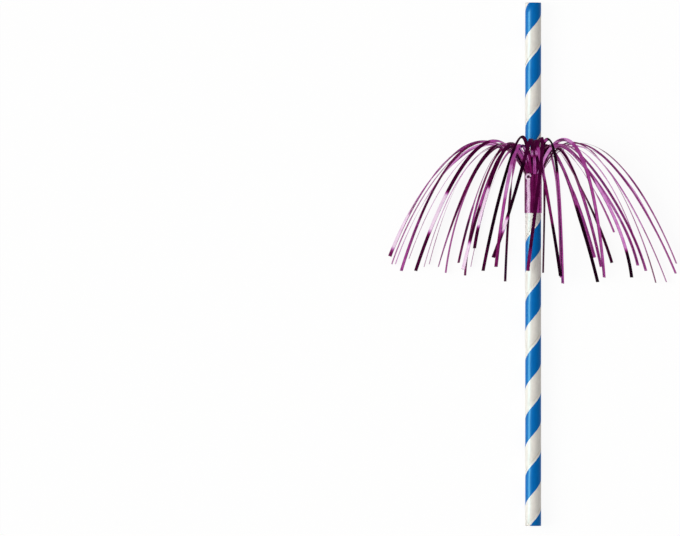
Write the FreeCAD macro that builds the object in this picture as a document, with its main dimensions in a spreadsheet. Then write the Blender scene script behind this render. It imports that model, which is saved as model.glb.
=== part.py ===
"""A spiral-wound paper drinking straw with a fringe of slit foil film, lying on a flat surface.

Frame: +Y runs along the straw to its mouth end, +Z is up, and the origin is on the surface,
straight under the middle of the straw. All sizes are in millimetres.
"""
import FreeCAD
import Part
import Sketcher

import bisect
import math
import os
from typing import NamedTuple

from FreeCAD import Placement, Rotation, Vector

SIZES = (
    ("straw_length", 197.0, "end to end"),
    ("straw_diameter", 6.0, "outside"),
    ("straw_wall", 0.4, "three plies of paper"),
    ("ply_pitch", 21.9, "advance of the outer ply in one turn round the straw"),
    ("seam_width", 0.16, "gap between neighbouring turns of the outer ply"),
    ("seam_depth", 0.06, "part of the outer ply's thickness"),
    ("seam_start", 8.6, "height of the seam on its zero line, above the lower end"),
    ("sleeve_start", 117.8, "lower end of the straw to the lower edge of the film"),
    ("sleeve_length", 14.7, "uncut edge of the film, wound round the straw"),
    ("film_layers", 3.0, "turns of film in the sleeve"),
    ("layer_build", 0.09, "one turn of film with its glue"),
    ("film_lap", 352.0, "degrees that the last turn reaches round the sleeve"),
    ("film_edge", 118.0, "degrees from +X to the film's outer edge, over the straw"),
    ("glue_gap", 0.02, "between the straw and the first turn"),
    ("film_thickness", 0.06, "the film itself"),
    ("strand_width", 1.35, "distance between two slits"),
    ("root_width", 0.45, "a strand's width where it leaves the rim, gathered by the winding"),
    ("strand_root", 0.2, "length of each strand that lies in the sleeve's rim"),
    ("flare_rise", 14.5, "height above the rim to which the strands rise together"),
    ("strand_reach", 54.0, "sideways from the straw's axis to the outermost tip"),
    ("strand_fall", 50.0, "measure along the straw for crests and tips"),
    ("mound_height", 22.0, "height to which the top strands are drawn"),
)

FLARE_SHARE = 0.28
CLIMB_SHARE = 0.35
SHOULDER_SHARE = 0.68
SAG_SHARE = 0.30
LIFT_POWER = 1.2
STRAND_RUNS = 16
FINE_STEPS = 120
BEND_PER_RUN = math.radians(15)
LENGTH_PER_RUN = 12.0
ROOT_INSET = 0.05
ROOT_STAGGER = 0.04
GROOVE_OVERLAP = 0.3
BENDING = 3


class Strand(NamedTuple):
    """One slit strand, as shares of the reach sideways and of the fall along the straw.

    crest and tip are (sideways, along) from the axis and the sleeve's rim, bow says how square
    the shoulder is, tip_lift is the tip's height as a share of the mound, and the faces are
    the degrees by which the film turns away from lying flat, half way along and at its tip.
    """

    crest: tuple
    tip: tuple
    bow: float
    tip_lift: float
    mid_face: float
    tip_face: float


# The strands in order round the rim: from the top down the left side, under the straw and up the right.
STRANDS = (
    Strand((0.10, 0.40), (-0.04, -0.73), 0.74, 0.38, 10, 20),
    Strand((-0.01, 0.36), (-0.28, -0.63), 0.58, 0.20, 20, 30),
    Strand((-0.11, 0.41), (-0.35, -0.73), 0.74, 0.16, 35, 25),
    Strand((-0.155, 0.23), (-0.26, -0.70), 0.74, 0.20, 20, 15),
    Strand((-0.23, 0.26), (-0.41, -0.56), 0.80, 0.15, 5, 40),
    Strand((-0.28, 0.17), (-0.49, -0.72), 0.70, 0.12, 60, 15),
    Strand((-0.31, 0.21), (-0.52, -0.67), 0.74, 0.10, 65, 60),
    Strand((-0.355, 0.26), (-0.66, -0.70), 0.74, 0.12, 30, 35),
    Strand((-0.43, 0.33), (-0.82, -0.73), 0.74, 0.10, 10, 40),
    Strand((-0.555, 0.32), (-0.92, -0.73), 0.74, 0.08, 60, 25),
    Strand((-0.56, 0.31), (-1.00, -0.62), 0.76, 0.10, 75, 5),
    Strand((-0.55, 0.29), (-0.985, -0.68), 0.78, 0.05, 75, 70),
    Strand((-0.535, 0.26), (-0.96, -0.68), 0.78, 0.04, 80, 75),
    Strand((-0.515, 0.23), (-0.865, -0.64), 0.74, 0.05, 80, 80),
    Strand((-0.49, 0.165), (-0.76, -0.70), 0.74, 0.03, 80, 80),
    Strand((-0.47, 0.21), (-0.725, -0.68), 0.74, 0.03, 80, 80),
    Strand((-0.375, 0.23), (-0.61, -0.745), 0.85, 0.03, 50, 45),
    Strand((-0.28, 0.27), (-0.475, -0.765), 0.90, 0.02, 70, 60),
    Strand((-0.25, 0.145), (-0.435, -0.70), 0.74, 0.02, 80, 80),
    Strand((-0.15, 0.22), (-0.195, -0.81), 0.74, 0.02, 60, 60),
    Strand((0.16, 0.22), (0.072, -0.745), 0.74, 0.02, 60, 60),
    Strand((0.17, 0.20), (0.196, -0.78), 0.74, 0.02, 60, 50),
    Strand((0.185, 0.16), (0.43, -0.63), 0.75, 0.02, 40, 35),
    Strand((0.26, 0.21), (0.475, -0.70), 0.74, 0.02, 40, 40),
    Strand((0.19, 0.225), (0.55, -0.67), 0.78, 0.04, 50, 25),
    Strand((0.315, 0.12), (0.565, -0.44), 0.74, 0.03, 60, 60),
    Strand((0.43, 0.18), (0.70, -0.46), 0.74, 0.04, 80, 80),
    Strand((0.47, 0.25), (0.93, -0.815), 0.74, 0.04, 75, 75),
    Strand((0.55, 0.175), (0.87, -0.46), 0.74, 0.05, 80, 80),
    Strand((0.50, 0.275), (0.995, -0.75), 0.74, 0.06, 55, 60),
    Strand((0.56, 0.275), (1.00, -0.675), 0.74, 0.08, 70, 55),
    Strand((0.45, 0.30), (0.855, -0.82), 0.78, 0.09, 45, 30),
    Strand((0.325, 0.24), (0.787, -0.73), 0.82, 0.10, 10, 40),
    Strand((0.295, 0.19), (0.73, -0.69), 0.86, 0.10, 40, 40),
    Strand((0.295, 0.24), (0.687, -0.78), 0.90, 0.10, 45, 25),
    Strand((0.345, 0.36), (0.495, -0.78), 0.80, 0.13, 10, 45),
    Strand((0.15, 0.23), (0.45, -0.815), 0.74, 0.12, 40, 25),
    Strand((0.16, 0.44), (0.205, -0.825), 0.74, 0.18, 50, 40),
    Strand((0.03, 0.33), (0.19, -0.77), 0.74, 0.20, 30, 25),
)

RADIUS = "Sizes.straw_diameter / 2"
SLEEVE_INNER = RADIUS + " + Sizes.glue_gap"
SLEEVE_OUTER = SLEEVE_INNER + " + Sizes.film_layers * Sizes.layer_build"
AXIS_HEIGHT = SLEEVE_OUTER + " + Sizes.film_thickness"
LAID_DOWN = Rotation(Vector(1, 0, 0), -90)


def write_sizes(document):
    """The sheet of driving sizes, one alias to a row."""
    sheet = document.addObject("Spreadsheet::Sheet", "Sizes")
    for row, (alias, value, meaning) in enumerate(SIZES, start=1):
        sheet.set("A%d" % row, alias)
        sheet.set("B%d" % row, str(value))
        sheet.set("C%d" % row, meaning)
        sheet.setAlias("B%d" % row, alias)
    document.recompute()
    return sheet


def origin_plane(body, role):
    """One of a body's own origin planes."""
    return next(item for item in body.Origin.OriginFeatures if item.Role == role)


def sketch_on(body, role, name):
    """An empty sketch on one of the body's origin planes."""
    sketch = body.newObject("Sketcher::SketchObject", name)
    sketch.AttachmentSupport = [(origin_plane(body, role), "")]
    sketch.MapMode = "FlatFace"
    return sketch


def bound_circle(sketch, radius_name, radius, formula):
    """A circle about the sketch's origin, with its radius bound to the sheet."""
    circle = sketch.addGeometry(Part.Circle(Vector(0, 0, 0), Vector(0, 0, 1), radius), False)
    sketch.addConstraint(Sketcher.Constraint("Coincident", circle, 3, -1, 1))
    constraint = sketch.addConstraint(Sketcher.Constraint("Radius", circle, radius))
    sketch.renameConstraint(constraint, radius_name)
    sketch.setExpression(".Constraints." + radius_name, formula)


def groove_section(sketch, sheet):
    """The seam's rectangular section, on the straw's outer wall, bound to the sheet."""
    radius = sheet.straw_diameter / 2
    inner, outer = radius - sheet.seam_depth, radius + GROOVE_OVERLAP
    low, high = sheet.seam_start - sheet.ply_pitch, sheet.seam_start - sheet.ply_pitch + sheet.seam_width
    corners = [Vector(inner, low, 0), Vector(outer, low, 0), Vector(outer, high, 0), Vector(inner, high, 0)]
    sides = [sketch.addGeometry(Part.LineSegment(start, end), False)
             for start, end in zip(corners, corners[1:] + corners[:1])]
    for side, following in zip(sides, sides[1:] + sides[:1]):
        sketch.addConstraint(Sketcher.Constraint("Coincident", side, 2, following, 1))
    for side, direction in zip(sides, ("Horizontal", "Vertical", "Horizontal", "Vertical")):
        sketch.addConstraint(Sketcher.Constraint(direction, side))
    dimensions = (
        ("inner", "DistanceX", (-1, 1, sides[0], 1), inner, RADIUS + " - Sizes.seam_depth"),
        ("across", "DistanceX", (sides[0], 1, sides[0], 2), outer - inner,
         "Sizes.seam_depth + %s" % GROOVE_OVERLAP),
        ("level", "DistanceY", (sides[0], 1, -1, 1), -low, "Sizes.ply_pitch - Sizes.seam_start"),
        ("opening", "DistanceY", (sides[1], 1, sides[1], 2), high - low, "Sizes.seam_width"),
    )
    for name, kind, places, value, formula in dimensions:
        constraint = sketch.addConstraint(Sketcher.Constraint(kind, *places, value))
        sketch.renameConstraint(constraint, name)
        sketch.setExpression(".Constraints." + name, formula)


def make_straw(document, sheet):
    """The wound paper tube, with the spiral seam that its outer ply leaves."""
    body = document.addObject("PartDesign::Body", "PaperStraw")
    body.Label = "paper_straw"
    section = sketch_on(body, "XY_Plane", "StrawSection")
    bound_circle(section, "outside", sheet.straw_diameter / 2, RADIUS)
    bound_circle(section, "bore", sheet.straw_diameter / 2 - sheet.straw_wall, RADIUS + " - Sizes.straw_wall")
    tube = body.newObject("PartDesign::Pad", "StrawTube")
    tube.Profile = section
    tube.setExpression("Length", "Sizes.straw_length")
    document.recompute()

    groove = sketch_on(body, "XZ_Plane", "SeamSection")
    groove_section(groove, sheet)
    document.recompute()
    seam = body.newObject("PartDesign::SubtractiveHelix", "PlySeam")
    seam.Profile = groove
    seam.ReferenceAxis = (groove, ["V_Axis"])
    seam.Mode = 0
    seam.setExpression("Pitch", "Sizes.ply_pitch")
    seam.setExpression("Height", "Sizes.straw_length + 2 * Sizes.ply_pitch")
    body.Tip = seam

    body.Placement = Placement(Vector(0, 0, 0), LAID_DOWN)
    body.setExpression(".Placement.Base.y", "-Sizes.straw_length / 2")
    body.setExpression(".Placement.Base.z", AXIS_HEIGHT)
    document.recompute()
    return body


def film_cylinder(document, name, radius, start=0.0, angle="360"):
    """A solid cylinder on the straw's axis, as long as the sleeve."""
    cylinder = document.addObject("Part::Cylinder", name)
    cylinder.Placement = Placement(Vector(0, 0, 0), LAID_DOWN * Rotation(Vector(0, 0, 1), -start))
    cylinder.setExpression("Radius", radius)
    cylinder.setExpression("Height", "Sizes.sleeve_length")
    cylinder.setExpression("Angle", angle)
    cylinder.setExpression(".Placement.Base.y", "Sizes.sleeve_start - Sizes.straw_length / 2")
    cylinder.setExpression(".Placement.Base.z", AXIS_HEIGHT)
    return cylinder


def film_tube(document, name, inner, outer, start=0.0, angle="360"):
    """A length of wound film between two radii."""
    tube = document.addObject("Part::Cut", name)
    tube.Base = film_cylinder(document, name + "Outside", outer, start, angle)
    tube.Tool = film_cylinder(document, name + "Inside", inner)
    return tube


class FilmSizes:
    """The sizes of the strands, worked out once from the sheet."""

    def __init__(self, sheet):
        """Read the sheet's sizes."""
        self.inner = sheet.straw_diameter / 2 + sheet.glue_gap
        self.layers = int(sheet.film_layers)
        self.layer_build = sheet.layer_build
        self.axis_height = self.inner + self.layers * self.layer_build + sheet.film_thickness
        self.rim = sheet.sleeve_start + sheet.sleeve_length - sheet.straw_length / 2
        self.root = sheet.strand_root
        self.width = sheet.strand_width
        self.root_width = sheet.root_width
        self.film = sheet.film_thickness
        self.rest = sheet.strand_width / 2 + sheet.film_thickness
        self.flare_rise = sheet.flare_rise
        self.reach = sheet.strand_reach
        self.fall = sheet.strand_fall
        self.mound = sheet.mound_height


def strand_poles(index, strand, film):
    """The five control points of a strand's middle line: root, flare, crest, shoulder and tip."""
    azimuth = math.radians(90 + 360 * index / len(STRANDS))
    radius = film.inner + ROOT_INSET + index % film.layers * ROOT_STAGGER
    root = Vector(radius * math.cos(azimuth), film.rim - film.root,
                  film.axis_height + radius * math.sin(azimuth))
    lift = ((1 + math.sin(azimuth)) / 2) ** LIFT_POWER
    crest = Vector(strand.crest[0] * film.reach, film.rim + strand.crest[1] * film.fall,
                   film.rest + lift * film.mound)
    tip = Vector(strand.tip[0] * film.reach, film.rim + strand.tip[1] * film.fall,
                 film.rest + strand.tip_lift * film.mound)
    flare = Vector(root.x + FLARE_SHARE * (crest.x - root.x), film.rim + film.flare_rise,
                   root.z + CLIMB_SHARE * (crest.z - root.z))
    shoulder = Vector(crest.x + strand.bow * (tip.x - crest.x),
                      crest.y + SHOULDER_SHARE * (tip.y - crest.y),
                      tip.z + SAG_SHARE * (crest.z - tip.z))
    return azimuth, [root, flare, crest, shoulder, tip]


def middle_line(poles):
    """The strand's middle line, a cubic spline of two spans."""
    curve = Part.BSplineCurve()
    curve.buildFromPolesMultsKnots(poles, [BENDING + 1, 1, BENDING + 1], [0.0, 0.5, 1.0], False, BENDING)
    return curve


def carried_widths(curve, azimuth):
    """Points, directions and the film's width direction, carried along with no twist of its own."""
    width = Vector(-math.sin(azimuth), 0, math.cos(azimuth))
    stations = []
    for step in range(FINE_STEPS + 1):
        share = step / FINE_STEPS
        along = curve.tangent(share)[0]
        width = width - along * width.dot(along)
        width.normalize()
        stations.append((curve.value(share), along, Vector(width)))
    return stations


def section_steps(stations):
    """The steps that get a section: close together in a bend and far apart on a straight."""
    effort = [0.0]
    for (near, near_along, _), (far, far_along, _) in zip(stations, stations[1:]):
        bend = near_along.getAngle(far_along) / BEND_PER_RUN
        effort.append(effort[-1] + bend + near.distanceToPoint(far) / LENGTH_PER_RUN)
    goals = [effort[-1] * run / STRAND_RUNS for run in range(1, STRAND_RUNS)]
    return [0] + [bisect.bisect(effort, goal) for goal in goals] + [FINE_STEPS]


def turn_to_face(station, face, near):
    """The twist that turns the film's flat side to the given face, nearest to the twist before it."""
    _, along, width = station
    level = along.cross(Vector(0, 0, 1))
    level.normalize()
    twist = math.atan2(level.dot(along.cross(width)), level.dot(width)) + math.radians(face)
    return twist - math.pi * round((twist - near) / math.pi)


def twisted_sections(curve, azimuth, strand, film):
    """The four corners of the film's section at each chosen step along a strand."""
    stations = carried_widths(curve, azimuth)
    middle = turn_to_face(stations[FINE_STEPS // 2], strand.mid_face, 0.0)
    end = turn_to_face(stations[-1], strand.tip_face, middle)
    sections = []
    for step in section_steps(stations):
        place, along, width = stations[step]
        share = 2 * step / FINE_STEPS
        twist = middle * share if share < 1 else middle + (end - middle) * (share - 1)
        across = width * math.cos(twist) + along.cross(width) * math.sin(twist)
        half_width = across * ((film.width if step else film.root_width) / 2)
        half_film = along.cross(across) * (film.film / 2)
        sections.append([place - half_width - half_film, place + half_width - half_film,
                         place + half_width + half_film, place - half_width + half_film])
    return sections


def run_faces(near, far):
    """The flat facets of one run, creased along the shorter diagonal of the film's two sides."""
    if near[0].distanceToPoint(far[1]) < near[1].distanceToPoint(far[0]):
        corners = [(near[0], near[1], far[1]), (near[0], far[1], far[0]),
                   (near[2], near[3], far[2]), (near[3], far[3], far[2])]
    else:
        corners = [(near[0], near[1], far[0]), (near[1], far[1], far[0]),
                   (near[2], near[3], far[3]), (near[2], far[3], far[2])]
    corners += [(near[1], near[2], far[2]), (near[1], far[2], far[1]),
                (near[3], near[0], far[0]), (near[3], far[0], far[3])]
    return [Part.Face(Part.makePolygon([first, second, third, first])) for first, second, third in corners]


def ribbon_solid(sections):
    """A closed strand of film, in flat facets from each section to the next."""
    faces = [face for near, far in zip(sections, sections[1:]) for face in run_faces(near, far)]
    for end in (sections[0], sections[-1]):
        faces.append(Part.Face(Part.makePolygon(end + end[:1])))
    shell = Part.makeShell(faces)
    shell.sewShape()
    solid = Part.Solid(shell)
    if solid.Volume < 0:
        solid.reverse()
    return solid


def make_fringe(document, sheet):
    """The sheet of film: its uncut edge wound into a sleeve, and its strands spread from the rim."""
    film = FilmSizes(sheet)
    under_lap = SLEEVE_OUTER + " - Sizes.layer_build"
    turns = film_tube(document, "FilmTurns", SLEEVE_INNER, under_lap)
    last_turn = film_tube(document, "FilmLastTurn", under_lap, SLEEVE_OUTER, sheet.film_edge, "Sizes.film_lap")
    strands = []
    for index, strand in enumerate(STRANDS):
        azimuth, poles = strand_poles(index, strand, film)
        ribbon = document.addObject("Part::Feature", "Strand%02d" % (index + 1))
        ribbon.Shape = ribbon_solid(twisted_sections(middle_line(poles), azimuth, strand, film))
        strands.append(ribbon)
    fringe = document.addObject("Part::MultiFuse", "FoilFringe")
    fringe.Label = "foil_fringe"
    fringe.Shapes = [turns, last_turn] + strands
    document.recompute()
    return fringe


def check(document, sub_parts):
    """Stop if any object failed or a sub-part isn't one valid solid."""
    for item in document.Objects:
        if "Invalid" in item.State or "Error" in item.State:
            raise RuntimeError("%s failed: %s" % (item.Name, item.State))
    for sub_part in sub_parts:
        shape = sub_part.Shape
        if shape.isNull() or not shape.isValid() or len(shape.Solids) != 1:
            raise RuntimeError("%s isn't one valid solid" % sub_part.Label)


def main():
    """Build the straw and its fringe, check them and write one file for each."""
    document = FreeCAD.newDocument("FringedStraw")
    sheet = write_sizes(document)
    sub_parts = [make_straw(document, sheet), make_fringe(document, sheet)]
    check(document, sub_parts)
    os.makedirs("parts", exist_ok=True)
    for sub_part in sub_parts:
        sub_part.Shape.exportStep("parts/%s.step" % sub_part.Label)
        print("%s: %.2f cubic mm" % (sub_part.Label, sub_part.Shape.Volume))


main()
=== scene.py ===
"""A spiral-striped paper drinking straw with a palm-shaped fringe of slit foil, lying on a pale floor."""

import logging
import math
import random
from dataclasses import dataclass, field
from enum import Enum

import bmesh
import bpy
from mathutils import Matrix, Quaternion, Vector
from mathutils.geometry import interpolate_bezier

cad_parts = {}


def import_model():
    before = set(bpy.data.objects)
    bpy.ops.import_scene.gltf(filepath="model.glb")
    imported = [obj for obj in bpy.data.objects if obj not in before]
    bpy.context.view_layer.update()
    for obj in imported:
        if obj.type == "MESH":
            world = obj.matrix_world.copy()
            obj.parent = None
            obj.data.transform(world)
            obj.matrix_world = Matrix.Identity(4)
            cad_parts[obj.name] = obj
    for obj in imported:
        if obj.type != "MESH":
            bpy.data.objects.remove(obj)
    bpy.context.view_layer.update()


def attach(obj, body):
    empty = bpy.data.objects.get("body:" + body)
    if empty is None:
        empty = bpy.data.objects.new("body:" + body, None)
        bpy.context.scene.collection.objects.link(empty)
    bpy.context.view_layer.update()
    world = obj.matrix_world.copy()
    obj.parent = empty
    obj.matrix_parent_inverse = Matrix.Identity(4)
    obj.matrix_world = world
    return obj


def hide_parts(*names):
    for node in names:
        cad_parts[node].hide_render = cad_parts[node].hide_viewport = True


LOG = logging.getLogger("fringed_straw")
MM = 0.001
AXIS_HEIGHT = 3.35 * MM
BORE_RADIUS = 2.6 * MM

Colour = tuple[float, float, float]


class PaintedTone(Enum):
    """How bright the painted reflection on a stretch of foil is, from black painted shade to a pale painted
    glint.
    """

    BLACK = 0.0
    DARK = 0.22
    DEEP = 0.40
    MAGENTA = 0.60
    LIGHT = 0.78
    GLINT = 1.0


@dataclass
class NodeSheet:
    """A material's or world's node tree, with short ways to add and join nodes."""

    tree: bpy.types.NodeTree

    def add(self, kind: str, **values: object) -> bpy.types.Node:
        """Add a node and set its properties.

        Args:
            kind: the node's type name, without its ShaderNode prefix.
            **values: properties to set on the node.

        Returns:
            The new node.
        """
        node = self.tree.nodes.new("ShaderNode" + kind)
        for name, value in values.items():
            setattr(node, name, value)
        return node

    def join(self, source: bpy.types.NodeSocket, target: bpy.types.NodeSocket) -> None:
        """Link an output to an input."""
        self.tree.links.new(source, target)

    def feed(self, target: bpy.types.NodeSocket, value: object) -> None:
        """Link a socket to the target, or set a number or colour on it."""
        if isinstance(value, bpy.types.NodeSocket):
            self.join(value, target)
        else:
            target.default_value = value

    def sum(self, operation: str, first: object, second: object = 0.0,
            third: object = 0.0) -> bpy.types.NodeSocket:
        """Work out a Math node.

        Args:
            operation: the Math node's operation.
            first: a socket or number.
            second: a socket or number.
            third: a socket or number.

        Returns:
            The result's socket.
        """
        node = self.add("Math", operation=operation)
        for place, value in zip(node.inputs, (first, second, third)):
            self.feed(place, value)
        return node.outputs[0]

    def ramp(self, value: bpy.types.NodeSocket, low: float, high: float,
             bottom: float = 0.0, top: float = 1.0) -> bpy.types.NodeSocket:
        """Turn a range of values smoothly into another.

        Args:
            value: what is turned.
            low: the value that gives bottom.
            high: the value that gives top.
            bottom: the result at low and before it.
            top: the result at high and past it.

        Returns:
            The result's socket.
        """
        node = self.add("MapRange", interpolation_type="SMOOTHSTEP")
        for place, number in zip(node.inputs[1:5], (low, high, bottom, top)):
            place.default_value = number
        self.join(value, node.inputs[0])
        return node.outputs[0]

    def blend(self, share: object, first: object, second: object,
              mode: str = "MIX") -> bpy.types.NodeSocket:
        """Mix two colours.

        Args:
            share: a socket or number for how much of the second shows.
            first: a socket or colour.
            second: a socket or colour.
            mode: the Mix node's blend type.

        Returns:
            The mixed colour's socket.
        """
        node = self.add("Mix", data_type="RGBA", blend_type=mode)
        self.feed(node.inputs[0], share)
        for place, colour in zip(node.inputs[6:8], (first, second)):
            self.feed(place, colour if isinstance(colour, bpy.types.NodeSocket) else (*colour, 1.0))
        return node.outputs[2]

    def shade(self, colour: object, brightness: bpy.types.NodeSocket) -> bpy.types.NodeSocket:
        """Darken a colour.

        Args:
            colour: a socket or colour.
            brightness: how much of it is left, from 0 to 1.

        Returns:
            The darkened colour's socket.
        """
        grey = self.add("CombineColor")
        for channel in grey.inputs[:3]:
            self.join(brightness, channel)
        return self.blend(1.0, colour, grey.outputs[0], "MULTIPLY")

    def noise(self, place: bpy.types.NodeSocket, scale: float, detail: float = 3.0,
              roughness: float = 0.5) -> bpy.types.NodeSocket:
        """Add fine unevenness.

        Args:
            place: the coordinates it follows.
            scale: how many features there are to the metre.
            detail: octaves of finer features.
            roughness: how strong the finer ones are.

        Returns:
            The noise's value.
        """
        node = self.add("TexNoise")
        self.join(place, node.inputs["Vector"])
        node.inputs["Scale"].default_value = scale
        node.inputs["Detail"].default_value = detail
        node.inputs["Roughness"].default_value = roughness
        return node.outputs[0]

    def bump(self, height: bpy.types.NodeSocket, depth: float, strength: float) -> bpy.types.NodeSocket:
        """Turn a height into a bumped normal.

        Args:
            height: the height's socket, from 0 to 1.
            depth: how far the height reaches, in metres.
            strength: the share of it that shows.

        Returns:
            The normal's socket.
        """
        node = self.add("Bump")
        node.inputs["Strength"].default_value = strength
        node.inputs["Distance"].default_value = depth
        self.join(height, node.inputs["Height"])
        return node.outputs[0]


def empty_sheet(owner: bpy.types.Material | bpy.types.World) -> NodeSheet:
    """Clear the nodes of a material or world and give its sheet."""
    owner.use_nodes = True
    owner.node_tree.nodes.clear()
    return NodeSheet(owner.node_tree)


def new_material(name: str) -> tuple[bpy.types.Material, NodeSheet, bpy.types.Node]:
    """Start a material with an empty sheet and a Principled shader at its output.

    Args:
        name: the material's name.

    Returns:
        The material, its node sheet and its shader.
    """
    material = bpy.data.materials.new(name)
    sheet = empty_sheet(material)
    shader = sheet.add("BsdfPrincipled")
    sheet.join(shader.outputs[0], sheet.add("OutputMaterial").inputs["Surface"])
    return material, sheet, shader


@dataclass(frozen=True)
class PaperFinish:
    """White paper with a faint gloss, printed with one blue band that the winding makes a spiral.

    The band's middle and the seam are given by where a turn of each crosses the top of the straw. A scale is
    how many features of that unevenness there are to the metre.
    """

    white: Colour = (0.93, 0.895, 0.83)
    blue: Colour = (0.0005, 0.162, 0.545)
    worn_blue: Colour = (0.02, 0.24, 0.62)
    seam_brown: Colour = (0.60, 0.49, 0.37)
    gloss: Colour = (0.30, 0.92, 1.0)
    pitch: float = 21.93 * MM
    band_middle: float = -80.5 * MM
    band_share: float = 0.5
    edge_blur: float = 0.12 * MM
    edge_wander: float = 0.35 * MM
    edge_scale: float = 1400.0
    seam_above: float = -73.6 * MM
    streak_core: float = 0.05 * MM
    streak_reach: float = 0.55 * MM
    streak_strength: float = 0.55
    streak_scale: float = 160.0
    mottle_scale: float = 700.0
    raw_mottle_scale: float = 900.0
    fibre_scale: float = 3600.0
    fibre_stretch: float = 0.35
    fibre_depth: float = 0.035 * MM
    raw_fibre_depth: float = 0.05 * MM
    ply: float = 0.133 * MM
    ply_line: float = 0.022 * MM
    roughness: float = 0.40
    raw_roughness: float = 0.85
    raw_sheen: float = 0.1
    gloss_level: float = 0.12

    def printed(self) -> bpy.types.Material:
        """Make the outer ply's paper, with its band and a darker brownish streak along its seam.

        Returns:
            The material.
        """
        material, sheet, shader = new_material("striped_paper")
        place, sideways, lengthways, over_axis = self.coordinates(sheet)
        turn = sheet.sum("DIVIDE", sheet.sum("ARCTAN2", sideways, over_axis), math.tau)
        along = sheet.sum("SUBTRACT", lengthways, sheet.sum("MULTIPLY", turn, self.pitch))

        wander = sheet.sum("SUBTRACT", sheet.noise(place, self.edge_scale, detail=4.0), 0.5)
        along_band = sheet.sum("ADD", along, sheet.sum("MULTIPLY", wander, self.edge_wander))
        off_band = self.away(sheet, along_band, self.band_middle)
        half_band = self.band_share * self.pitch / 2
        inked = sheet.ramp(off_band, half_band - self.edge_blur, half_band + self.edge_blur,
                           bottom=1.0, top=0.0)
        # A darker brownish streak along the seam, in patches, strongest next to it.
        off_seam = self.away(sheet, along, self.seam_above)
        seam_streak = sheet.ramp(off_seam, self.streak_core, self.streak_reach,
                             bottom=self.streak_strength, top=0.0)
        patches = sheet.ramp(sheet.noise(place, self.streak_scale), 0.35, 0.65)
        seam_streak = sheet.sum("MULTIPLY", seam_streak, patches)

        fibres = self.fibres(sheet, place)
        plain = sheet.blend(seam_streak, self.white, self.seam_brown)
        worn = sheet.ramp(fibres, 0.62, 0.8, bottom=0.0, top=0.16)
        ink = sheet.blend(worn, self.blue, self.worn_blue)
        mottle = sheet.ramp(sheet.noise(place, self.mottle_scale, detail=5.0, roughness=0.6), 0.3, 0.7,
                            bottom=0.95, top=1.0)
        sheet.join(sheet.shade(sheet.blend(inked, plain, ink), mottle), shader.inputs["Base Color"])

        shader.inputs["Roughness"].default_value = self.roughness
        shader.inputs["Specular IOR Level"].default_value = self.gloss_level
        shader.inputs["Specular Tint"].default_value = (*self.gloss, 1.0)
        sheet.join(sheet.bump(fibres, self.fibre_depth, strength=0.3), shader.inputs["Normal"])
        return material

    def raw(self) -> bpy.types.Material:
        """Make the bare inner plies, with the lines between them at the cut ends.

        Returns:
            The material.
        """
        material, sheet, shader = new_material("raw_paper")
        place, sideways, _, over_axis = self.coordinates(sheet)
        across = sheet.sum("POWER", sideways, 2.0)
        radius = sheet.sum("SQRT", sheet.sum("MULTIPLY_ADD", over_axis, over_axis, across))
        off_line = sheet.sum("PINGPONG", sheet.sum("SUBTRACT", radius, BORE_RADIUS), self.ply / 2)
        lines = sheet.ramp(off_line, 0.0, self.ply_line, bottom=0.72, top=1.0)
        mottle = sheet.ramp(sheet.noise(place, self.raw_mottle_scale, detail=5.0), 0.3, 0.7,
                            bottom=0.93, top=1.0)
        colour = sheet.shade(self.white, sheet.sum("MULTIPLY", lines, mottle))
        sheet.join(colour, shader.inputs["Base Color"])
        shader.inputs["Roughness"].default_value = self.raw_roughness
        shader.inputs["Sheen Weight"].default_value = self.raw_sheen
        relief = sheet.bump(self.fibres(sheet, place), self.raw_fibre_depth, strength=0.8)
        sheet.join(relief, shader.inputs["Normal"])
        return material

    @staticmethod
    def coordinates(sheet: NodeSheet) -> tuple[bpy.types.NodeSocket, ...]:
        """Read a place on the straw.

        Args:
            sheet: the node sheet.

        Returns:
            The place, its sideways and lengthways parts, and its height over the straw's axis.
        """
        place = sheet.add("TexCoord").outputs["Object"]
        split = sheet.add("SeparateXYZ")
        sheet.join(place, split.inputs[0])
        over_axis = sheet.sum("SUBTRACT", split.outputs[2], AXIS_HEIGHT)
        return place, split.outputs[0], split.outputs[1], over_axis

    def away(self, sheet: NodeSheet, along: bpy.types.NodeSocket, centre: float) -> bpy.types.NodeSocket:
        """Measure how far a place is from the nearest turn of a spiral line.

        Args:
            sheet: the node sheet.
            along: the place along the straw, with the spiral's rise taken off.
            centre: where one turn of the line is.

        Returns:
            The distance along the straw.
        """
        near = sheet.sum("WRAP", sheet.sum("SUBTRACT", along, centre), self.pitch / 2, -self.pitch / 2)
        return sheet.sum("ABSOLUTE", near)

    def fibres(self, sheet: NodeSheet, place: bpy.types.NodeSocket) -> bpy.types.NodeSocket:
        """Add the paper's fibres, drawn out along the straw.

        Args:
            sheet: the node sheet.
            place: the coordinates they follow.

        Returns:
            Their height.
        """
        stretch = sheet.add("Mapping")
        stretch.inputs["Scale"].default_value = (1.0, self.fibre_stretch, 1.0)
        sheet.join(place, stretch.inputs["Vector"])
        return sheet.noise(stretch.outputs[0], self.fibre_scale, detail=6.0, roughness=0.65)


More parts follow.
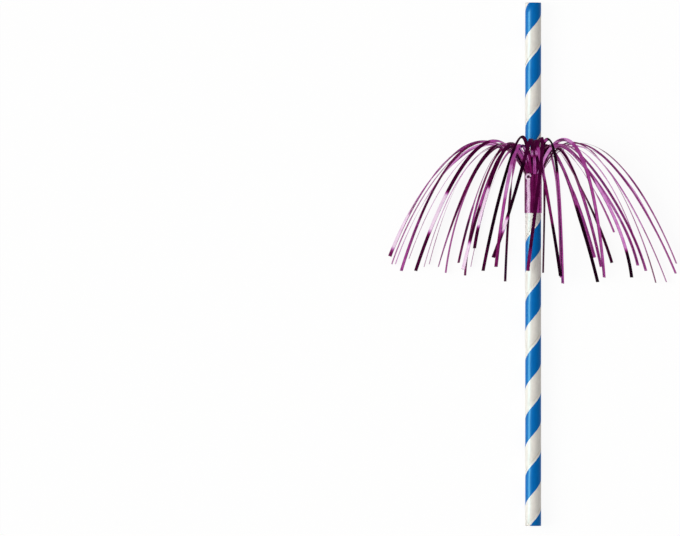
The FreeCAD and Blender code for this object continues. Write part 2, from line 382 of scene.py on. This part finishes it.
@dataclass(frozen=True)
class FoilWithPaintedReflections:
    """Metallised magenta film with its reflections painted into its colour: each stretch is painted bright
    or dark by how it turns.
    """

    # The stops turn a painted tone into colour: the darkest are painted shade and dark reflections, the
    # middle ones the film's magenta, the palest a painted glint.
    stops: tuple[tuple[float, Colour], ...] = (
        (0.00, (0.010, 0.001, 0.007)),
        (0.22, (0.056, 0.002, 0.030)),
        (0.40, (0.175, 0.007, 0.092)),
        (0.60, (0.380, 0.058, 0.290)),
        (0.78, (0.620, 0.220, 0.560)),
        (1.00, (1.000, 0.780, 0.960)),
    )
    smoothest: float = 0.17
    roughest: float = 0.34
    smear_scale: float = 900.0
    unrest: float = 0.24
    unrest_scale: float = 420.0
    crinkle_depth: float = 0.22 * MM
    crinkle_scale: float = 520.0

    def film(self) -> bpy.types.Material:
        """Make the film's material, which reads each place's painted reflection tone from the mesh.

        Returns:
            The material.
        """
        material, sheet, shader = new_material("magenta_foil")
        place = sheet.add("TexCoord").outputs["Object"]
        # The tone attribute carries the painted reflections: painted shade, the film's magenta and painted
        # glints, with random unevenness added.
        tone = sheet.add("Attribute", attribute_type="GEOMETRY", attribute_name="tone").outputs["Fac"]
        unrest = sheet.sum("SUBTRACT", sheet.noise(place, self.unrest_scale, roughness=0.6), 0.5)
        tone = sheet.sum("MULTIPLY_ADD", unrest, self.unrest, tone)
        ramp = sheet.add("ValToRGB")
        for position, _ in self.stops[2:]:
            ramp.color_ramp.elements.new(position)
        for element, (position, colour) in zip(ramp.color_ramp.elements, self.stops):
            element.position = position
            element.color = (*colour, 1.0)
        sheet.join(tone, ramp.inputs[0])
        sheet.join(ramp.outputs[0], shader.inputs["Base Color"])
        shader.inputs["Metallic"].default_value = 1.0
        smear = sheet.ramp(sheet.noise(place, self.smear_scale), 0.3, 0.7,
                           bottom=self.smoothest, top=self.roughest)
        sheet.join(smear, shader.inputs["Roughness"])
        crinkle = sheet.noise(place, self.crinkle_scale, roughness=0.55)
        sheet.join(sheet.bump(crinkle, self.crinkle_depth, strength=0.35), shader.inputs["Normal"])
        return material


def finish_piece(name: str, mesh_work: bmesh.types.BMesh, material: bpy.types.Material,
                 node: str) -> bpy.types.Object:
    """Turn mesh work into a smooth-shaded piece that rides on the frame.

    Args:
        name: the piece's name.
        mesh_work: the bmesh, which is freed.
        material: its finish.
        node: the frame's node that it stands for.

    Returns:
        The new object.
    """
    mesh = bpy.data.meshes.new(name)
    mesh_work.to_mesh(mesh)
    mesh_work.free()
    mesh.materials.append(material)
    for polygon in mesh.polygons:
        polygon.use_smooth = True
    piece = bpy.data.objects.new(name, mesh)
    bpy.context.scene.collection.objects.link(piece)
    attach(piece, "root")
    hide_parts(node)
    LOG.info("%s: %d faces", name, len(mesh.polygons))
    return piece


@dataclass
class PaperStraw:
    """The wound tube: inner plies, and an outer ply whose edges meet in a spiral seam.

    seam_edge rounds the strip's edges, in pairs of how far in from the edge and how far under the straw's
    outside. The inner plies start inner_under below the outside and stop inner_short before the ends.
    """

    length: float = 197.0 * MM
    radius: float = 3.0 * MM
    outer_ply: float = 0.10 * MM
    inner_under: float = 0.06 * MM
    inner_short: float = 0.01 * MM
    rim_round: float = 0.03 * MM
    seam_gap: float = 0.07 * MM
    seam_edge: tuple[tuple[float, float], ...] = (
        (0.0, 0.045 * MM), (0.04 * MM, 0.014 * MM), (0.12 * MM, 0.0),
    )
    turn_steps: int = 72
    tube_steps: int = 96
    finish: PaperFinish = field(default_factory=PaperFinish)

    def build(self) -> list[bpy.types.Object]:
        """Make both parts of the straw.

        Returns:
            The pieces.
        """
        return [
            finish_piece("striped_ply", self.wound_strip(), self.finish.printed(), "paper_straw"),
            finish_piece("inner_plies", self.inner_tube(), self.finish.raw(), "paper_straw"),
        ]

    def wound_strip(self) -> bmesh.types.BMesh:
        """Wind a strip of paper into a tube and trim both ends.

        Returns:
            The closed, thick ply.
        """
        pitch = self.finish.pitch
        seam = self.finish.seam_above
        first = seam - math.ceil((seam + self.length / 2) / pitch + 1) * pitch
        columns = (math.ceil(self.length / pitch) + 2) * self.turn_steps
        edge = [(self.seam_gap / 2 + inwards, under) for inwards, under in self.seam_edge]
        flat = [(pitch * share, 0.0) for share in (0.25, 0.5, 0.75)]
        profile = edge + flat + [(pitch - inwards, under) for inwards, under in reversed(edge)]
        work = bmesh.new()
        bmesh.ops.create_grid(work, x_segments=columns, y_segments=len(profile) - 1, size=0.5)
        for vertex in work.verts:
            column = round((vertex.co.x + 0.5) * columns)
            across, under = profile[round((vertex.co.y + 0.5) * (len(profile) - 1))]
            angle = math.tau * column / self.turn_steps
            radius = self.radius - under
            vertex.co = Vector((radius * math.sin(angle),
                                first + across + pitch * column / self.turn_steps,
                                AXIS_HEIGHT + radius * math.cos(angle)))
        bmesh.ops.recalc_face_normals(work, faces=work.faces)
        if sum(face.normal.dot(self.outward(face.calc_center_median())) for face in work.faces) < 0:
            bmesh.ops.reverse_faces(work, faces=work.faces)
        bmesh.ops.solidify(work, geom=work.faces[:], thickness=self.outer_ply)
        for end in (-1, 1):
            bmesh.ops.bisect_plane(work, geom=work.verts[:] + work.edges[:] + work.faces[:], dist=1e-7,
                                   plane_co=(0, end * self.length / 2, 0), plane_no=(0, end, 0),
                                   clear_outer=True)
            open_edges = [edge for edge in work.edges if edge.is_boundary]
            bmesh.ops.holes_fill(work, edges=open_edges, sides=0)
        return work

    def inner_tube(self) -> bmesh.types.BMesh:
        """Draw the inner plies as one open tube with thick walls.

        Returns:
            The closed tube.
        """
        work = bmesh.new()
        half_length = self.length / 2 - self.inner_short
        outside = self.radius - self.inner_under
        corners = [(BORE_RADIUS, -1), (outside, -1), (outside, 1), (BORE_RADIUS, 1)]
        verts = [work.verts.new((0, end * half_length, AXIS_HEIGHT + radius)) for radius, end in corners]
        edges = [work.edges.new((first, second)) for first, second in zip(verts, verts[1:] + verts[:1])]
        bmesh.ops.spin(work, geom=verts + edges, cent=(0, 0, AXIS_HEIGHT), axis=(0, 1, 0),
                       angle=math.tau, steps=self.tube_steps, use_merge=True)
        bmesh.ops.remove_doubles(work, verts=work.verts, dist=1e-6)
        bmesh.ops.recalc_face_normals(work, faces=work.faces)
        rims = [edge for edge in work.edges if edge.calc_face_angle(0.0) > math.radians(60)]
        bmesh.ops.bevel(work, geom=rims, offset=self.rim_round, affect="EDGES", segments=2, profile=0.5,
                        material=-1)
        return work

    @staticmethod
    def outward(place: Vector) -> Vector:
        """Point away from the straw's axis."""
        return Vector((place.x, 0, place.z - AXIS_HEIGHT)).normalized()


# Letters for the painted tones, from B, black painted shade, to G, a pale painted glint.
PAINTED_TONE_LETTERS = {
    "B": PaintedTone.BLACK, "D": PaintedTone.DARK, "P": PaintedTone.DEEP,
    "M": PaintedTone.MAGENTA, "L": PaintedTone.LIGHT, "G": PaintedTone.GLINT,
}


@dataclass(frozen=True)
class Strand:
    """One slit strand, as shares of the reach sideways and of the fall along the straw.

    crest and tip are (sideways, along) from the axis and the rim, bow says how square the shoulder is, and
    tip_lift is the tip's height as a share of the mound. The faces are the degrees that the film turns away
    from lying flat, half way and at the tip. tones lists its stretches from root to tip, each with a letter
    for how bright its painted reflection is, from painted shade to a painted glint, and the percent of the
    strand's length where it ends.
    """

    crest: tuple[float, float]
    tip: tuple[float, float]
    bow: float
    tip_lift: float
    mid_face: float
    tip_face: float
    tones: str = "M100"

    def stretches(self) -> list[tuple[float, float]]:
        """List each stretch's painted tone and the share of the length where it ends."""
        return [(PAINTED_TONE_LETTERS[part[0]].value, int(part[1:]) / 100) for part in self.tones.split()]

# The last field of each strand gives its painted reflections: stretches of painted shade, of the film's
# magenta and of painted glint.
STRANDS = (
    Strand((0.10, 0.40), (-0.04, -0.73), 0.74, 0.38, 10, 20, "D4 B9 L13 D92 P100"),
    Strand((-0.01, 0.36), (-0.28, -0.63), 0.58, 0.20, -20, -12, "D4 B9 L13 D58 B84 G90 D100"),
    Strand((-0.11, 0.41), (-0.35, -0.73), 0.74, 0.16, -35, -25, "P10 D50 B92 D100"),
    Strand((-0.155, 0.23), (-0.26, -0.70), 0.74, 0.20, -20, -15, "P6 L20 M52 L70 M86 P100"),
    Strand((-0.23, 0.26), (-0.41, -0.56), 0.80, 0.15, -5, -25, "P6 L18 M28 D70 G90 D100"),
    Strand((-0.28, 0.17), (-0.49, -0.72), 0.70, 0.12, -60, -15, "P8 M20 D30 P60 M72 D88 G100"),
    Strand((-0.31, 0.21), (-0.52, -0.67), 0.74, 0.10, -50, -50, "P50 M80 P100"),
    Strand((-0.355, 0.26), (-0.66, -0.70), 0.74, 0.12, -40, -72, "P10 M28 D62 P85 M100"),
    Strand((-0.43, 0.33), (-0.82, -0.73), 0.74, 0.10, -10, -25, "P18 M34 D70 G86 D100"),
    Strand((-0.555, 0.32), (-0.92, -0.73), 0.74, 0.08, -50, -35, "P15 M34 P80 M100"),
    Strand((-0.56, 0.31), (-1.00, -0.62), 0.76, 0.10, -68, -10, "M50 G97 P100"),
    Strand((-0.55, 0.29), (-0.985, -0.68), 0.78, 0.05, 75, 70, "P20 M38 P60 M100"),
    Strand((-0.535, 0.26), (-0.96, -0.68), 0.78, 0.04, 80, 75, "L100"),
    Strand((-0.515, 0.23), (-0.865, -0.64), 0.74, 0.05, 80, 80, "P20 M30 L80 M100"),
    Strand((-0.49, 0.165), (-0.76, -0.70), 0.74, 0.03, 80, 80, "M30 L80 M100"),
    Strand((-0.47, 0.21), (-0.725, -0.68), 0.74, 0.03, 80, 80, "M20 P40 L80 M100"),
    Strand((-0.375, 0.23), (-0.61, -0.745), 0.85, 0.03, 60, 62, "P60 M100"),
    Strand((-0.28, 0.27), (-0.475, -0.765), 0.90, 0.02, -58, -50, "P70 M80 P100"),
    Strand((-0.25, 0.145), (-0.435, -0.70), 0.74, 0.02, 80, 80, "P30 M70 L80 M100"),
    Strand((-0.15, 0.22), (-0.195, -0.81), 0.74, 0.02, -42, -45, "M60 D100"),
    Strand((0.095, 0.22), (0.070, -0.745), 0.74, 0.02, 60, 60, "D100"),
    Strand((0.17, 0.20), (0.196, -0.78), 0.74, 0.02, 60, 50, "M100"),
    Strand((0.185, 0.16), (0.43, -0.63), 0.75, 0.02, 40, 35, "P10 M100"),
    Strand((0.26, 0.21), (0.475, -0.70), 0.74, 0.02, 40, 40, "P30 M100"),
    Strand((0.19, 0.225), (0.55, -0.67), 0.78, 0.04, 72, 35, "P72 D100"),
    Strand((0.315, 0.12), (0.565, -0.44), 0.74, 0.03, 60, 60, "P40 M100"),
    Strand((0.43, 0.18), (0.70, -0.46), 0.74, 0.04, 80, 80, "M20 L80 M100"),
    Strand((0.47, 0.25), (0.93, -0.815), 0.74, 0.04, 75, 75, "P20 M30 L80 M100"),
    Strand((0.55, 0.175), (0.87, -0.46), 0.74, 0.05, 80, 80, "M10 L100"),
    Strand((0.50, 0.275), (0.995, -0.75), 0.74, 0.06, 70, 58, "P20 M100"),
    Strand((0.56, 0.275), (1.00, -0.675), 0.74, 0.08, 78, 70, "M10 P50 M100"),
    Strand((0.45, 0.30), (0.855, -0.82), 0.78, 0.09, 72, 70, "P40 M90 P100"),
    Strand((0.325, 0.24), (0.787, -0.73), 0.82, 0.10, 50, 45, "P30 M100"),
    Strand((0.295, 0.19), (0.73, -0.69), 0.86, 0.10, 40, 40, "P20 M40 L80 M100"),
    Strand((0.295, 0.24), (0.687, -0.78), 0.90, 0.10, 45, 25, "P20 M60 L90 B100"),
    Strand((0.345, 0.36), (0.495, -0.78), 0.80, 0.13, 5, 40, "L40 M100"),
    Strand((0.15, 0.23), (0.45, -0.815), 0.74, 0.12, 40, 25, "D24 P45 M71 B100"),
    Strand((0.16, 0.37), (0.205, -0.825), 0.74, 0.18, 50, 40, "D22 M30 B60 M100"),
    Strand((0.00, 0.36), (0.19, -0.77), 0.74, 0.20, 30, 25, "M9 D45 M64 P82 B100"),
)


@dataclass
class FoilFringe:
    """One sheet of film: its uncut edge wound into a sleeve, and the slit part spread as strands.

    reach, fall and mound are what the strands' shares are of: sideways, along the straw and upwards. The
    shares after them place the flare and the shoulder between root, crest and tip. sleeve_painted_tones
    gives the sleeve's painted tone by the place across it, from -1 at its left side to 1 at its right, with
    a pale painted highlight band at the left, and painted shade lies round the film's curled corner. A
    kink's place and length are shares of the strand, and its turn is in
    radians. loose_curl is one over the radius of a strand's curl across its width.
    """

    rim: float = 34.0 * MM
    sleeve_foot: float = 19.3 * MM
    inner: float = 3.02 * MM
    layer: float = 0.09 * MM
    layers: int = 3
    last_edge: float = math.radians(118)
    film: float = 0.05 * MM
    width: float = 1.35 * MM
    root_depth: float = 0.2 * MM
    flare_rise: float = 14.5 * MM
    reach: float = 54.0 * MM
    fall: float = 50.0 * MM
    mound: float = 22.0 * MM
    flare_share: float = 0.28
    climb_share: float = 0.35
    shoulder_share: float = 0.68
    sag_share: float = 0.30
    lift_power: float = 1.2
    clearance: float = 0.06 * MM
    lowest: float = 0.09 * MM
    wound_share: float = 0.18
    loose_curl: float = 120.0
    kinks: int = 4
    kink_places: tuple[float, float] = (0.25, 0.95)
    kink_turns: tuple[float, float] = (-0.30, 0.30)
    kink_lengths: tuple[float, float] = (0.012, 0.03)
    tone_blur: float = 0.02
    # Painted tones across the sleeve: the pale band near the left is a painted highlight, the darker
    # stretches painted shade and dark reflections.
    sleeve_painted_tones: tuple[tuple[float, float], ...] = (
        (-1.00, 0.45), (-0.80, 0.42), (-0.75, 1.00), (-0.40, 1.00), (-0.34, 0.38), (0.35, 0.36),
        (0.50, 0.50), (0.78, 0.52), (0.85, 0.66), (1.00, 0.52),
    )
    wrinkle_depth: float = 0.022 * MM
    # How much the wrinkles paint light and shade into the sleeve's tone.
    wrinkle_light_and_shade: float = 0.10
    # Painted shade round the curled corner: the top share of the sleeve, across this span.
    shade_from: float = 0.90
    shade_across: tuple[float, float] = (-0.78, -0.30)
    corner_lean: tuple[float, float, float] = (-0.545, 0.0, 0.839)
    corner_out: float = 3.55 * MM
    corner_drop: float = 1.0 * MM
    corner_radii: tuple[float, float] = (0.50 * MM, 1.35 * MM)
    corner_rise: float = 0.006 * MM
    corner_turn: float = math.radians(320)
    turn_steps: int = 110
    sleeve_rows: int = 36
    rows: int = 96
    strips: int = 4
    finish: FoilWithPaintedReflections = field(default_factory=FoilWithPaintedReflections)

    def build(self) -> list[bpy.types.Object]:
        """Make the sleeve, the strands and the curled corner.

        Returns:
            The pieces.
        """
        film = self.finish.film()
        meshes = {"foil_sleeve": self.wound_sleeve(), "foil_strands": self.spread_strands(),
                  "edge_curl": self.curled_corner()}
        return [finish_piece(name, work, film, "foil_fringe")
                for name, work in meshes.items()]

    def wound_sleeve(self) -> bmesh.types.BMesh:
        """Wind the film's uncut edge round the straw, with the wrinkles that winding leaves.

        Returns:
            The closed, thick roll.
        """
        dice = random.Random(5)
        waves = [(dice.uniform(2, 7), dice.uniform(300, 900), dice.uniform(0, math.tau)) for _ in range(7)]
        work = bmesh.new()
        tone = work.verts.layers.float.new("tone")
        bmesh.ops.create_grid(work, x_segments=self.turn_steps * self.layers, y_segments=self.sleeve_rows,
                              size=0.5)
        for vertex in work.verts:
            turn = (vertex.co.x + 0.5) * self.layers
            share = vertex.co.y + 0.5
            angle = self.last_edge + math.tau * (self.layers - turn)
            place = self.sleeve_foot + share * (self.rim - self.sleeve_foot)
            wrinkle = sum(math.sin(n * angle + k * place + p) for n, k, p in waves) / len(waves)
            radius = self.inner + self.film / 2 + self.layer * turn + self.wrinkle_depth * wrinkle
            vertex[tone] = self.sleeve_painted_tone(angle, share, wrinkle)
            vertex.co = Vector((radius * math.cos(angle), place, AXIS_HEIGHT + radius * math.sin(angle)))
        self.thicken(work)
        return work

    def sleeve_painted_tone(self, angle: float, share: float, wrinkle: float) -> float:
        """Say how bright the sleeve's painted reflection is at a place.

        Args:
            angle: round the straw, from +X towards the top.
            share: from the sleeve's foot to its rim.
            wrinkle: the wrinkles' height there, from -1 to 1.

        Returns:
            The tone.
        """
        across = math.cos(angle) + 0.03 * math.sin(11 * share)
        tone = self.sleeve_painted_tones[0][1]
        for (near, first), (far, second) in zip(self.sleeve_painted_tones, self.sleeve_painted_tones[1:]):
            if across > near:
                tone = first + (second - first) * min(1.0, (across - near) / (far - near))
        # Painted shade round the curled corner.
        if share > self.shade_from and self.shade_across[0] < across < self.shade_across[1]:
            tone = PaintedTone.DARK.value
        # Painted light and shade along the wrinkles.
        return min(1.0, max(0.0, tone + self.wrinkle_light_and_shade * wrinkle))

    def curled_corner(self) -> bmesh.types.BMesh:
        """Curl the upper corner of the film's free edge into a small ring on the sleeve.

        Returns:
            The closed curl.
        """
        work = bmesh.new()
        tone = work.verts.layers.float.new("tone")
        lean = Vector(self.corner_lean)
        side = Vector((lean.z, 0, -lean.x))
        centre = Vector((0, self.rim - self.corner_drop, AXIS_HEIGHT)) + lean * self.corner_out
        near, far = [work.verts.new(centre + side * radius) for radius in self.corner_radii]
        edge = work.edges.new((near, far))
        bmesh.ops.spin(work, geom=[near, far, edge], cent=centre, axis=lean, dvec=lean * self.corner_rise,
                       angle=self.corner_turn, steps=32, use_merge=False)
        # The whole curl is painted with the glint tone, a painted highlight.
        for vertex in work.verts:
            vertex[tone] = PaintedTone.GLINT.value
        self.thicken(work)
        return work

    def spread_strands(self) -> bmesh.types.BMesh:
        """Bend every strand to its place.

        Returns:
            The closed strands.
        """
        work = bmesh.new()
        work.verts.layers.float.new("tone")
        for index, strand in enumerate(STRANDS):
            self.bend_strand(work, index, strand)
        self.thicken(work)
        return work

    def thicken(self, work: bmesh.types.BMesh) -> None:
        """Give the film its thickness, on one side of the surface that was drawn."""
        bmesh.ops.solidify(work, geom=work.faces[:], thickness=self.film)

    def poles(self, index: int, strand: Strand) -> list[Vector]:
        """Work out a strand's root, flare, crest, shoulder and tip.

        Args:
            index: its place round the rim.
            strand: its measures.

        Returns:
            The five control points of its middle line.
        """
        azimuth = self.azimuth(index)
        radius = self.inner + (index % self.layers + 0.5) * self.layer
        root = Vector((radius * math.cos(azimuth), self.rim - self.root_depth,
                       AXIS_HEIGHT + radius * math.sin(azimuth)))
        rest = self.width / 2 + self.clearance
        lift = ((1 + math.sin(azimuth)) / 2) ** self.lift_power
        crest = Vector((strand.crest[0] * self.reach, self.rim + strand.crest[1] * self.fall,
                        rest + lift * self.mound))
        tip = Vector((strand.tip[0] * self.reach, self.rim + strand.tip[1] * self.fall,
                      rest + strand.tip_lift * self.mound))
        flare = Vector((root.x + self.flare_share * (crest.x - root.x), self.rim + self.flare_rise,
                        root.z + self.climb_share * (crest.z - root.z)))
        shoulder = Vector((crest.x + strand.bow * (tip.x - crest.x),
                           crest.y + self.shoulder_share * (tip.y - crest.y),
                           tip.z + self.sag_share * (crest.z - tip.z)))
        return [root, flare, crest, shoulder, tip]

    @staticmethod
    def azimuth(index: int) -> float:
        """Give a strand's place round the straw, from +X towards the top."""
        return math.radians(90 + 360 * index / len(STRANDS))

    def middle_line(self, poles: list[Vector]) -> list[Vector]:
        """Draw the smooth line through a strand.

        Args:
            poles: its five control points.

        Returns:
            Points along it, one for each row of the strand's faces.
        """
        root, flare, crest, shoulder, tip = poles
        before, after = (flare + crest) / 2, (crest + shoulder) / 2
        middle = (before + after) / 2
        half = self.rows // 2 + 1
        return interpolate_bezier(root, flare, before, middle, half)[:-1] + \
            interpolate_bezier(middle, after, shoulder, tip, half)

    def bend_strand(self, work: bmesh.types.BMesh, index: int, strand: Strand) -> None:
        """Cut one flat strip and bend it along its line, with its twist, curl and kinks.

        Args:
            work: the bmesh that gets it.
            index: its place round the rim.
            strand: its measures.
        """
        dice = random.Random(100 + index)
        line = self.middle_line(self.poles(index, strand))
        frames = self.carried_frames(index, line)
        middle = self.turn_to_face(frames[self.rows // 2], strand.mid_face, 0.0)
        end = self.turn_to_face(frames[-1], strand.tip_face, middle)
        limits = (self.kink_places, self.kink_turns, self.kink_lengths)
        kinks = [[dice.uniform(*pair) for pair in limits] for _ in range(self.kinks)]
        curl_side = dice.choice((-1.0, 1.0))
        stretches = strand.stretches()
        tone = work.verts.layers.float["tone"]
        grid = bmesh.ops.create_grid(work, x_segments=self.rows, y_segments=self.strips, size=0.5)["verts"]
        for vertex in grid:
            step = round((vertex.co.x + 0.5) * self.rows)
            side = vertex.co.y * self.width
            share = step / self.rows
            place, along, width = frames[step]
            twist = middle * 2 * share if share < 0.5 else middle + (end - middle) * (2 * share - 1)
            twist += sum(turn * math.tanh((share - where) / soft) for where, turn, soft in kinks) \
                * math.sin(math.pi * share) ** 2
            across = width * math.cos(twist) + along.cross(width) * math.sin(twist)
            outward = along.cross(across)
            bend = self.curl(share, curl_side)
            arc = side * bend
            vertex.co = place + across * (math.sin(arc) / bend) - outward * ((1 - math.cos(arc)) / bend)
            vertex.co.z = max(vertex.co.z, self.lowest)
            # Paint the strand's reflections into its tone, stretch by stretch.
            vertex[tone] = self.painted_tone_at(stretches, share)

    def curl(self, share: float, side: float) -> float:
        """Say how tightly a strand is curled across its width.

        Args:
            share: from root to tip.
            side: 1 or -1, the way that its loose end curls.

        Returns:
            One over the curl's radius.
        """
        wound = 1 / (self.inner + self.layer)
        part = min(1.0, share / self.wound_share)
        return wound * (1 - part) + side * self.loose_curl * part

    def painted_tone_at(self, stretches: list[tuple[float, float]], share: float) -> float:
        """Give a strand's painted reflection tone, which changes sharply where one stretch meets the next.

        Args:
            stretches: each one's tone and the share of the length where it ends.
            share: from root to tip.

        Returns:
            The tone there.
        """
        tone = stretches[0][0]
        for (before, end), (after, _) in zip(stretches, stretches[1:]):
            tone += (after - before) * min(1.0, max(0.0, (share - end) / self.tone_blur + 0.5))
        return tone

    def carried_frames(self, index: int, line: list[Vector]) -> list[tuple[Vector, Vector, Vector]]:
        """Carry the film's width along its line with no twist of its own.

        Args:
            index: the strand's place round the rim.
            line: the points of its middle line.

        Returns:
            For each point the point itself, the line's direction and the film's width direction.
        """
        azimuth = self.azimuth(index)
        width = Vector((-math.sin(azimuth), 0, math.cos(azimuth)))
        frames = []
        for step, place in enumerate(line):
            along = (line[min(step + 1, len(line) - 1)] - line[max(step - 1, 0)]).normalized()
            width = (width - along * width.dot(along)).normalized()
            frames.append((place, along, width.copy()))
        return frames

    @staticmethod
    def turn_to_face(frame: tuple[Vector, Vector, Vector], face: float, near: float) -> float:
        """Find the twist that turns the film's flat side to a face.

        Args:
            frame: the point, direction and width direction.
            face: degrees away from lying flat.
            near: the twist before it.

        Returns:
            The nearest such twist.
        """
        _, along, width = frame
        level = along.cross(Vector((0, 0, 1))).normalized()
        twist = math.atan2(level.dot(along.cross(width)), level.dot(width)) + math.radians(face)
        return twist - math.pi * round((twist - near) / math.pi)


@dataclass
class Studio:
    """The pale floor, the soft light from the left and the camera that looks straight down.

    The key lamp lights every piece and isn't mirrored. The gloss lamp is only mirrored, and only by the
    glossed pieces. A lamp's way is where its light goes, and its spread is how wide it looks, in degrees.
    """

    view_centre: tuple[float, float] = (-72.75 * MM, -1.42 * MM)
    distance: float = 3.0
    view_width: float = 256.4 * MM
    sensor: float = 36.0
    floor_half: float = 6.0
    floor_colour: Colour = (0.85, 0.85, 0.85)
    floor_glow: float = 1.04
    glow_share: float = 0.88
    ambient: float = 0.40
    ceiling: float = 0.78
    ceiling_from: float = 0.35
    lamp_colour: Colour = (1.0, 0.985, 0.96)
    key_strength: float = 1.75
    key_spread: float = 45.0
    key_way: tuple[float, float, float] = (0.75, -0.06, -0.66)
    gloss_strength: float = 13.0
    gloss_spread: float = 18.0
    gloss_way: tuple[float, float, float] = (0.88, -0.06, -0.46)
    glossed: list[bpy.types.Object] = field(default_factory=list)

    def build(self) -> None:
        """Set up floor, world, light and camera."""
        self.floor()
        self.world()
        self.light()
        self.camera()

    def floor(self) -> None:
        """Lay the floor, which shows white and keeps the object's shadow."""
        work = bmesh.new()
        bmesh.ops.create_grid(work, x_segments=1, y_segments=1, size=self.floor_half)
        mesh = bpy.data.meshes.new("floor")
        work.to_mesh(mesh)
        work.free()
        floor = bpy.data.objects.new("floor", mesh)
        bpy.context.scene.collection.objects.link(floor)
        material = bpy.data.materials.new("pale_floor")
        sheet = empty_sheet(material)
        matt = sheet.add("BsdfDiffuse")
        matt.inputs["Color"].default_value = (*self.floor_colour, 1.0)
        glow = sheet.add("Emission")
        glow.inputs["Color"].default_value = (1.0, 1.0, 1.0, 1.0)
        glow.inputs["Strength"].default_value = self.floor_glow
        mix = sheet.add("MixShader")
        sheet.join(sheet.sum("MULTIPLY", self.seen_rays(sheet), self.glow_share), mix.inputs[0])
        sheet.join(matt.outputs[0], mix.inputs[1])
        sheet.join(glow.outputs[0], mix.inputs[2])
        sheet.join(mix.outputs[0], sheet.add("OutputMaterial").inputs["Surface"])
        mesh.materials.append(material)

    @staticmethod
    def seen_rays(sheet: NodeSheet) -> bpy.types.NodeSocket:
        """Pick out the rays that see the room: straight from the camera, mirrored or through a piece."""
        rays = sheet.add("LightPath").outputs
        either = sheet.sum("MAXIMUM", rays["Is Camera Ray"], rays["Is Glossy Ray"])
        return sheet.sum("MAXIMUM", either, rays["Is Transmission Ray"])

    def world(self) -> None:
        """Fill the room with soft light, and show it white with a darker ceiling."""
        world = bpy.data.worlds.new("room")
        sheet = empty_sheet(world)
        direction = sheet.add("SeparateXYZ")
        sheet.join(sheet.add("TexCoord").outputs["Generated"], direction.inputs[0])
        backdrop = sheet.ramp(direction.outputs[2], self.ceiling_from, 1.0, bottom=1.0, top=self.ceiling)
        seen = self.seen_rays(sheet)
        filled = sheet.sum("MULTIPLY", sheet.sum("SUBTRACT", 1.0, seen), self.ambient)
        room = sheet.add("Background")
        room.inputs["Color"].default_value = (1.0, 1.0, 1.0, 1.0)
        sheet.join(sheet.sum("MULTIPLY_ADD", seen, backdrop, filled), room.inputs["Strength"])
        sheet.join(room.outputs[0], sheet.add("OutputWorld").inputs["Surface"])
        bpy.context.scene.world = world

    def light(self) -> None:
        """Hang the soft key lamp at the left, and the small lower one that only the paper mirrors."""
        key = self.lamp("key_light", self.key_strength, self.key_spread, Vector(self.key_way))
        key.visible_glossy = False
        gloss = self.lamp("gloss_light", self.gloss_strength, self.gloss_spread, Vector(self.gloss_way))
        gloss.visible_diffuse = False
        receivers = bpy.data.collections.new("glossed_pieces")
        for piece in self.glossed:
            receivers.objects.link(piece)
        gloss.light_linking.receiver_collection = receivers

    def lamp(self, name: str, strength: float, spread: float, way: Vector) -> bpy.types.Object:
        """Add one distant lamp.

        Args:
            name: the lamp's name.
            strength: how much light it gives.
            spread: how wide it looks, in degrees.
            way: where its light goes.

        Returns:
            The lamp.
        """
        lamp = bpy.data.lights.new(name, "SUN")
        lamp.energy = strength
        lamp.angle = math.radians(spread)
        lamp.color = self.lamp_colour
        holder = bpy.data.objects.new(name, lamp)
        holder.rotation_euler = way.to_track_quat("-Z", "Y").to_euler()
        holder.location = -way
        bpy.context.scene.collection.objects.link(holder)
        return holder

    def camera(self) -> None:
        """Set the camera over the photograph's middle."""
        lens = bpy.data.cameras.new("camera")
        lens.sensor_width = self.sensor
        lens.lens = self.sensor * self.distance / self.view_width
        lens.clip_start = 0.01
        lens.clip_end = 50.0
        camera = bpy.data.objects.new("camera", lens)
        camera.location = (*self.view_centre, self.distance)
        camera.rotation_mode = "QUATERNION"
        camera.rotation_quaternion = Quaternion((1, 0, 0, 0))
        bpy.context.scene.collection.objects.link(camera)
        bpy.context.scene.camera = camera


def main() -> None:
    """Load the frame, dress it and light it."""
    logging.basicConfig(level=logging.INFO, format="%(message)s")
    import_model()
    bpy.context.scene.view_settings.view_transform = "Standard"
    straw = PaperStraw().build()
    fringe = FoilFringe().build()
    LOG.info("%d pieces made", len(straw + fringe))
    Studio(glossed=straw).build()


if __name__ == "__main__":
    main()
